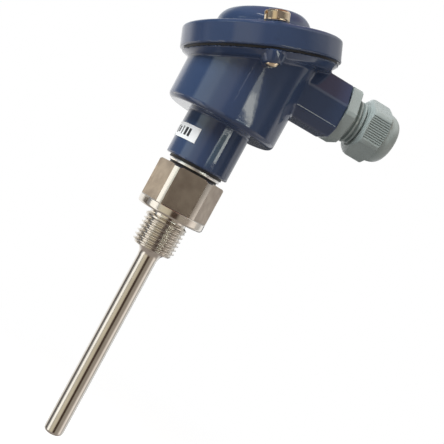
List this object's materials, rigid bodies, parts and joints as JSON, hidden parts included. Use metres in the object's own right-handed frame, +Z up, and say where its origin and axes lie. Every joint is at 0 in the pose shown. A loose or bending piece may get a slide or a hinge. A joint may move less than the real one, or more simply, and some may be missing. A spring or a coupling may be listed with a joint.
{
  "type": "rtd probe with head",
  "caption": "Resistance temperature probe with a short rigid stainless sheath, a threaded hexagonal process fitting and a slant-lid enamelled connection head with a cable gland.",
  "frame": {"origin": "centre of the sealing face under the process fitting's collar, where the thread begins", "axes": "+Z up the probe's axis, from the tip to the connection head; +X towards the cable gland; the lid rises towards +X"},
  "size_m": [0.0712, 0.0472, 0.142],
  "materials": {
    "navy_enamel": "glossy navy enamel on an aluminium casting",
    "brass": "turned",
    "black_rubber": "matt",
    "steel": "turned and milled stainless steel",
    "cement": null,
    "ceramic": null,
    "potting": "cured resin",
    "wire_sleeve": "sleeved wire",
    "plated_steel": "zinc-plated steel",
    "label_film": "printed white film",
    "grey_nylon": "moulded grey-green polyamide, slightly glossy"
  },
  "bodies": {
    "head": {"head_body": "navy_enamel", "neck_gasket": "black_rubber", "process_fitting": "steel", "probe_tube": "steel", "tip_filler": "cement", "rtd_element": "ceramic", "insulator_rod": "ceramic", "tube_seal": "potting", "lead_wires": "wire_sleeve", "terminal_block": "ceramic", "terminals": "brass", "terminal_screws": "plated_steel", "block_screws": "plated_steel", "earth_screw": "plated_steel", "earth_washer": "brass", "type_label": "label_film", "gland_body": "grey_nylon", "gland_o_ring": "black_rubber", "gland_seal": "black_rubber"},
    "lid": {"lid": "navy_enamel", "lid_gasket": "black_rubber"},
    "lid_screw_front": {"lid_screw_front": "brass"},
    "lid_screw_rear": {"lid_screw_rear": "brass"},
    "gland_nut": {"gland_nut": "grey_nylon"}
  },
  "joints": [
    {"name": "lid_lift", "type": "slide", "parent": "head", "child": "lid", "axis": [-0.3907, 0, 0.9205], "range_m": [0, 0.04]},
    {"name": "lid_screw_front_turn", "type": "hinge", "parent": "lid", "child": "lid_screw_front", "pos_m": [-0.00252, -0.01957, 0.05951], "axis": [-0.3907, 0, 0.9205], "range_deg": [0, 1800]},
    {"name": "lid_screw_rear_turn", "type": "hinge", "parent": "lid", "child": "lid_screw_rear", "pos_m": [-0.00051, 0.01957, 0.06036], "axis": [-0.3907, 0, 0.9205], "range_deg": [0, 1800]},
    {"name": "gland_nut_turn", "type": "hinge", "parent": "head", "child": "gland_nut", "pos_m": [0.041, 0, 0.0513], "axis": [1, 0, 0], "range_deg": [0, 720]}
  ]
}
